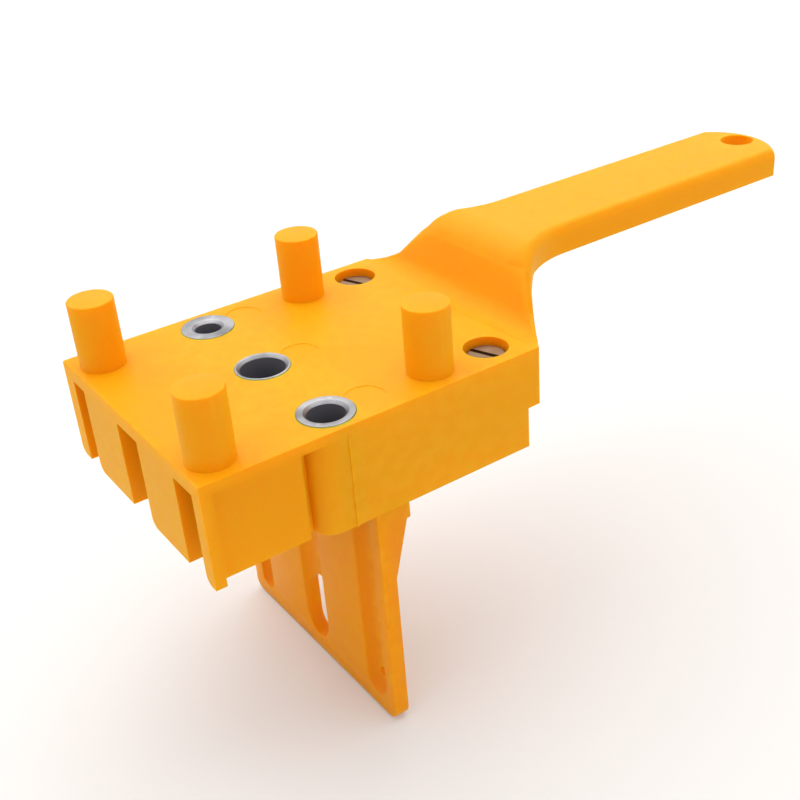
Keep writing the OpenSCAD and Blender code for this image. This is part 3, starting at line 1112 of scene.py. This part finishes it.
@dataclass
class BodyMoulding:
    """The body: one moulding with plate, walls, pegs, neck and handle.

    From soft_from on, 1 mm before the plate's back end, the outer faces are refined and
    moved onto the rounded form. In front of it, the pegs' tops (above peg_high) get the
    rounding peg_edge, and the long corners of the plate's rim get fine_edge.
    """

    node: str = "body"
    rides_on: str = "jig_body"
    soft_from: float = 49.7 * MM - 1.0 * MM
    peg_edge: float = 0.35 * MM
    peg_high: float = 15.7 * MM
    fine_edge: float = 0.45 * MM
    corner_angle: float = 1.2
    corner_length: float = 3.0 * MM
    corner_back: float = 49.0 * MM
    plate_slack: float = 0.01 * MM
    plate_high: float = 1.0 * MM
    refined: float = 0.8 * MM
    form: NeckForm = field(default_factory=NeckForm)

    def build(self, frame: dict[str, Any], shelf: FinishShelf) -> list[bpy.types.Object]:
        """Builds the moulding.

        Args:
            shelf: the finishes.

        Returns:
            The pieces made.
        """
        piece = merged_copy(frame["nodes"][self.node], "moulded_body", shelf.of(BODY_PLASTIC))
        round_edges(piece, self.peg_edge, 3, self._on_peg_top)
        round_edges(piece, self.fine_edge, 3, self._upright_corner)
        self._soften_outer(piece)
        return [stand_in(piece, self.rides_on, self.node)]

    def _soften_outer(self, piece: bpy.types.Object) -> None:
        """Refines the neck and handle and moves the outer faces onto the rounded form.

        Args:
            piece: the body's merged copy.
        """
        with editing(piece.data) as work:
            refine_outer(work, self.form, self.soft_from, self.refined)
            places = vertex_places(work)
            chosen = np.flatnonzero(places[:, 1] > self.soft_from)
            chosen = chosen[self.form.holds(places[chosen])]
            moved = self.form.soften(places[chosen])
            work.verts.ensure_lookup_table()
            soft = [work.verts[index] for index in chosen.tolist()]
            for vertex, place in zip(soft, moved.tolist()):
                vertex.co = place
            bmesh.ops.remove_doubles(work, verts=soft, dist=0.06 * MM)
            bmesh.ops.dissolve_degenerate(work, edges=work.edges, dist=0.01 * MM)
            mark_sharp(work)

    def _on_peg_top(self, edge: bmesh.types.BMEdge) -> bool:
        """Whether an edge runs round the top of a peg."""
        return all(v.co.z > self.peg_high for v in edge.verts) and edge.calc_face_angle(0.0) > 1.0

    def _upright_corner(self, edge: bmesh.types.BMEdge) -> bool:
        """Whether an edge is a long corner of the plate's rim, in front of the neck."""
        sharp = edge.is_convex and edge.calc_face_angle(0.0) >= self.corner_angle
        if not sharp or edge.calc_length() < self.corner_length:
            return False
        ends = [v.co for v in edge.verts]
        on_plate = all(p.z > -self.plate_slack and p.y < self.corner_back for p in ends)
        return on_plate and not all(p.z > self.plate_high for p in ends)


@dataclass
class FenceMoulding:
    """The sliding fence: one moulding with its hanging plate, flange, gussets and slide."""

    node: str = "fence"
    rides_on: str = "fence"
    fine_edge: float = 0.22 * MM

    def build(self, frame: dict[str, Any], shelf: FinishShelf) -> list[bpy.types.Object]:
        """Builds the moulding.

        Args:
            shelf: the finishes.

        Returns:
            The pieces made.
        """
        piece = merged_copy(frame["nodes"][self.node], "moulded_fence", shelf.of(SHADED_FENCE_PLASTIC))
        round_edges(piece, self.fine_edge, 2, self._sharp_edge)
        return [stand_in(piece, self.rides_on, self.node)]

    def _sharp_edge(self, edge: bmesh.types.BMEdge) -> bool:
        """Whether an edge is a convex corner long enough for a fine rounding."""
        convex = edge.is_convex and edge.calc_face_angle(0.0) > math.radians(40)
        return convex and edge.calc_length() > 0.4 * MM


@dataclass
class DrillBush:
    """A turned steel bush: a flat ring, a bright chamfer and a bore darkened by painted shade.

    Its heights are in the jig's frame, so that top is how far it stands out of the plate.
    """

    node: str
    x: float
    bore: float
    outer: float = 12.4 * MM
    top: float = 0.2 * MM
    low: float = -23.5 * MM
    chamfer: float = 0.7 * MM
    edge: float = 0.12 * MM
    rides_on: str = "jig_body"

    def build(self, frame: dict[str, Any], shelf: FinishShelf) -> list[bpy.types.Object]:
        """Builds the bush.

        Args:
            shelf: the finishes.

        Returns:
            The pieces made.
        """
        r, b, c, e = self.outer / 2, self.bore / 2, self.chamfer, self.edge
        corners = [
            (b + c, self.top), (r - e, self.top), (r, self.top - e), (r, self.low + e),
            (r - e, self.low), (b + c, self.low), (b, self.low + c), (b, self.top - c),
        ]
        piece = turned_ring(
            f"turned_{self.node}", corners, (self.x, 0.0), 0.1 * MM, shelf.of(BUSH_STEEL)
        )
        self._shade_bore(piece.data)
        return [stand_in(piece, self.rides_on, self.node)]

    def _shade_bore(self, mesh: bpy.types.Mesh) -> None:
        """Writes an attribute that is 1 on the points of the bore and 0 elsewhere; the material
        paints shade where it is 1.

        Args:
            mesh: the bush's mesh.
        """
        reach = self.bore / 2 + 0.01 * MM
        inside = [float(math.hypot(v.co.x - self.x, v.co.y) < reach) for v in mesh.vertices]
        mesh.attributes.new("bore_shade", "FLOAT", "POINT").data.foreach_set("value", inside)


@dataclass
class ClampSet:
    """A slotted clamp screw with the washer and square nut under the slide.

    Heights are in the jig's frame. The head is turned with a core left open, which is then
    merged into the axis, and its drive slot stands slot_turn away from the jig's x.
    """

    side: Side
    x: float = BUSH_PITCH
    y: float = 41.1 * MM
    head_radius: float = 4.6 * MM
    head_top: float = -1.6 * MM
    head_edge: float = 0.5 * MM
    core: float = 0.02 * MM
    seat: float = -4.0 * MM
    tip: float = -24.0 * MM
    radius: float = 2.5 * MM
    thread: ThreadForm = ThreadForm()
    slot_width: float = 1.2 * MM
    slot_depth: float = 1.2 * MM
    slot_turn: float = math.radians(20.0)
    washer_radius: float = 5.0 * MM
    washer_bore: float = 2.65 * MM
    washer_top: float = -17.8 * MM
    washer_low: float = -18.8 * MM
    washer_edge: float = 0.12 * MM
    nut_edge: float = 0.25 * MM

    def build(self, frame: dict[str, Any], shelf: FinishShelf) -> list[bpy.types.Object]:
        """Builds the three pieces of one clamp.

        Args:
            shelf: the finishes.

        Returns:
            The pieces made.
        """
        return [self._screw(shelf), self._washer(shelf), self._nut(frame, shelf)]

    def _label(self) -> str:
        """The side's name as the nodes use it."""
        return self.side.name.lower()

    def _centre(self) -> tuple[float, float]:
        """x and y of the screw's axis."""
        return (self.side.value * self.x, self.y)

    def _screw(self, shelf: FinishShelf) -> bpy.types.Object:
        """Head with its drive slot cut in, joined to the threaded shank.

        Args:
            shelf: the finishes.

        Returns:
            The screw.
        """
        steel = shelf.of(REFLECTION_TINTED_SCREW_STEEL)
        core, h, e, top = self.core, self.head_radius, self.head_edge, self.head_top
        corners = [(core, top), (h - e, top), (h, top - e), (h, self.seat), (core, self.seat)]
        name = f"slotted_screw_{self._label()}"
        head = turned_ring(name, corners, self._centre(), 0.2 * MM, steel, 72)
        self._close_core(head)
        cutter = self._slot_block(steel)
        cut = head.modifiers.new("drive_slot", "BOOLEAN")
        cut.operation, cut.object, cut.solver = "DIFFERENCE", cutter, "EXACT"
        bpy.context.view_layer.update()
        cut_mesh = bpy.data.meshes.new_from_object(
            head.evaluated_get(bpy.context.evaluated_depsgraph_get())
        )
        head.modifiers.clear()
        head.data = cut_mesh
        bpy.data.objects.remove(cutter)
        in_head = self.seat + 0.1 * MM
        shank = threaded_rod(self._centre(), self.tip, in_head, self.radius, self.thread, steel)
        with editing(head.data) as work:
            work.from_mesh(shank.data)
            mark_sharp(work, 32.0)
        bpy.data.objects.remove(shank)
        label = self._label()
        return stand_in(head, f"screw_{label}", f"clamp_screw_{label}")

    def _close_core(self, head: bpy.types.Object) -> None:
        """Merges the head's thin core into its axis, so that the head is a closed solid.

        Args:
            head: the turned head.
        """
        centre = Vector(self._centre())
        middle = (self.head_top + self.seat) / 2
        with editing(head.data) as work:
            for vert in [v for v in work.verts if (v.co.xy - centre).length < 0.3 * MM]:
                vert.co.xy = centre
                vert.co.z = self.head_top if vert.co.z > middle else self.seat
            bmesh.ops.remove_doubles(work, verts=work.verts, dist=MERGE_REACH)
            bmesh.ops.dissolve_degenerate(work, dist=1e-7, edges=work.edges)
            loose = [e for e in work.edges if not e.link_faces]
            bmesh.ops.delete(work, geom=loose, context="EDGES")
            bmesh.ops.recalc_face_normals(work, faces=work.faces)

    def _slot_block(self, steel: bpy.types.Material) -> bpy.types.Object:
        """A block across the head that cuts its drive slot.

        Args:
            steel: the screw's material, which the cut faces take over.

        Returns:
            The block, which the caller removes.
        """
        length, half = 1.4 * self.head_radius, self.slot_width / 2
        low, high = self.head_top - self.slot_depth, self.head_top + 1.0 * MM
        signs = [[sx, sy, sz] for sx in (-1, 1) for sy in (-1, 1) for sz in (0, 1)]
        corner = np.array(signs, float)
        along, across = corner[:, 0] * length, corner[:, 1] * half
        cx, cy = self._centre()
        cos, sin = math.cos(self.slot_turn), math.sin(self.slot_turn)
        points = np.stack(
            [cx + along * cos - across * sin, cy + along * sin + across * cos,
             np.where(corner[:, 2] > 0, high, low)], axis=1,
        )
        faces = [
            [0, 1, 3, 2], [4, 6, 7, 5], [0, 4, 5, 1], [2, 3, 7, 6], [0, 2, 6, 4], [1, 5, 7, 3],
        ]
        block = new_piece("slot_block", points, faces, steel)
        tidy_normals(block, 30.0)
        return block

    def _washer(self, shelf: FinishShelf) -> bpy.types.Object:
        """Punched washer with softened rims.

        Args:
            shelf: the finishes.

        Returns:
            The washer.
        """
        r, b, e = self.washer_radius, self.washer_bore, self.washer_edge
        top, low, label = self.washer_top, self.washer_low, self._label()
        corners = [(b, top), (r - e, top), (r, top - e), (r, low), (b + e, low), (b, low + e)]
        steel = shelf.of(ZINC_STEEL)
        name = f"punched_washer_{label}"
        piece = turned_ring(name, corners, self._centre(), 0.08 * MM, steel, 64)
        return stand_in(piece, f"nut_{label}", f"washer_{label}")

    def _nut(self, frame: dict[str, Any], shelf: FinishShelf) -> bpy.types.Object:
        """Square nut as a merged copy with fine edges and a map for its tool marks.

        Args:
            shelf: the finishes.

        Returns:
            The nut.
        """
        node = f"square_nut_{self._label()}"
        piece = merged_copy(frame["nodes"][node], f"pressed_{node}", shelf.of(ZINC_STEEL))
        round_edges(piece, self.nut_edge, 3, self._nut_corner)
        place = np.empty(len(piece.data.vertices) * 3, dtype=np.float32)
        piece.data.vertices.foreach_get("co", place)
        place = place.reshape(-1, 3) / MM
        map_points(piece.data, np.stack([place[:, 0], place[:, 1] + place[:, 2]], axis=1))
        return stand_in(piece, f"nut_{self._label()}", node)

    def _nut_corner(self, edge: bmesh.types.BMEdge) -> bool:
        """Whether an edge is one of the nut's outer corners."""
        convex = edge.is_convex and edge.calc_face_angle(0.0) > math.radians(60)
        return convex and edge.calc_length() > 2 * MM


# ------------------------------------------------------------------- the studio


@dataclass(frozen=True)
class SoftLamp:
    """A square soft lamp: its place, what it points at, its side, its watts and its colour."""

    name: str
    place: tuple[float, float, float]
    target: tuple[float, float, float]
    size: float
    power: float
    colour: tuple[float, float, float]

    def build(self) -> None:
        """Hangs the lamp and turns it towards its target."""
        light = bpy.data.lights.new(self.name, "AREA")
        light.size, light.energy, light.color = self.size, self.power, self.colour
        lamp = linked(self.name, light)
        lamp.location = self.place
        aim = Vector(self.target) - Vector(self.place)
        lamp.rotation_euler = aim.to_track_quat("-Z", "Y").to_euler()


@dataclass
class Studio:
    """Plain pale floor, soft lamps and the camera that was fitted to the photograph.

    The camera's three directions and its place are in the jig's frame, and its focal
    length is in pixels of a frame that is frame_px wide.
    """

    focal_px: float = 1177.62
    frame_px: float = 800.0
    right: tuple[float, float, float] = (0.5746094, 0.8153487, -0.0709269)
    down: tuple[float, float, float] = (0.3711214, -0.3368203, -0.8653444)
    forward: tuple[float, float, float] = (-0.7294470, 0.4709126, -0.4961334)
    eye: tuple[float, float, float] = (0.2061686, -0.0984279, 0.1182843)
    floor_half: float = 6.0
    floor_drop: float = 0.4 * MM
    lamps: tuple[SoftLamp, ...] = (
        SoftLamp(
            "key_light", (-0.25, 0.10, 0.75), (0.0, 0.03, 0.0), 1.3, 8.4, (1.0, 0.98, 0.94)
        ),
        SoftLamp(
            "side_light", (0.95, 0.05, 0.25), (0.0, 0.03, -0.01), 1.0, 2.3, (1.0, 0.99, 0.96)
        ),
        SoftLamp(
            "front_light", (-0.3, -0.95, 0.2), (0.0, 0.0, -0.02), 1.0, 1.3, (1.0, 0.93, 0.92)
        ),
    )

    def build(self) -> None:
        """Builds floor, world, lamps and camera, and shows colours as they are written."""
        bpy.context.scene.view_settings.view_transform = "Standard"
        self._floor()
        self._world()
        for lamp in self.lamps:
            lamp.build()
        self._camera()

    def _floor(self) -> None:
        """A wide pale floor just under the jig; seen directly it gets whiter with distance.

        From below it is clear, so that the underside can be looked at.
        """
        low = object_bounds()[0].z - self.floor_drop
        h = self.floor_half
        points = np.array([[-h, -h, low], [h, -h, low], [h, h, low], [-h, h, low]])
        material, sheet, shader = blank_material("studio_floor")
        noise = sheet.feed(sheet.add("ShaderNodeTexNoise"), Scale=60.0, Detail=2.0)
        paper = sheet.mix(noise.outputs["Fac"], (0.76, 0.76, 0.76, 1.0), (0.78, 0.78, 0.78, 1.0))
        below = sheet.add("ShaderNodeNewGeometry").outputs["Backfacing"]
        far = sheet.add("ShaderNodeVectorMath", operation="LENGTH")
        sheet.join(sheet.object_place(), far.inputs[0])
        lift = sheet.ramp(far.outputs["Value"], 0.3, 1.4, 0.12, 0.62)
        sheet.feed(
            shader, Base_Color=paper, Roughness=0.9, Specular_IOR_Level=0.1,
            Alpha=sheet.math("SUBTRACT", 1.0, below), Emission_Color=(1.0, 1.0, 1.0, 1.0),
            Emission_Strength=sheet.math("MULTIPLY", sheet.seen_directly(), lift),
        )
        new_piece("studio_floor", points, [[0, 1, 2, 3]], material)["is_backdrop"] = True

    def _world(self) -> None:
        """Even soft light; seen directly the world is white."""
        world = bpy.data.worlds.new("studio_world")
        world.use_nodes = True
        sheet = NodeSheet(world.node_tree)
        strength = sheet.ramp(sheet.seen_directly(), 0.0, 1.0, 0.55, 1.0)
        back = world.node_tree.nodes["Background"]
        sheet.feed(back, Color=(1.0, 1.0, 1.0, 1.0), Strength=strength)
        bpy.context.scene.world = world

    def _camera(self) -> None:
        """Places the camera; its own axes are right, up and backwards."""
        data = bpy.data.cameras.new("photo_camera")
        data.sensor_fit, data.sensor_width = "HORIZONTAL", 36.0
        data.lens = data.sensor_width * self.focal_px / self.frame_px
        data.clip_start, data.clip_end = 0.01, 50.0
        camera = linked("photo_camera", data)
        turn = Matrix((Vector(self.right), -Vector(self.down), -Vector(self.forward))).transposed()
        camera.matrix_world = Matrix.Translation(self.eye) @ turn.to_4x4()
        bpy.context.scene.camera = camera


def main() -> None:
    """Builds the jig from its sub-assemblies, then the studio."""
    logging.basicConfig(level=logging.INFO, format="%(name)s: %(message)s")
    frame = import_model()
    shelf = FinishShelf(SharedEffects())
    assemblies = [
        BodyMoulding(),
        FenceMoulding(),
        DrillBush("bush_small", -BUSH_PITCH, 6.1 * MM),
        DrillBush("bush_large", 0.0, 10.1 * MM),
        DrillBush("bush_medium", BUSH_PITCH, 8.1 * MM),
        ClampSet(Side.LEFT),
        ClampSet(Side.RIGHT),
    ]
    for assembly in assemblies:
        for piece in assembly.build(frame, shelf):
            LOG.info("%s: %d faces", piece.name, len(piece.data.polygons))
    Studio().build()


if __name__ == "__main__":
    main()
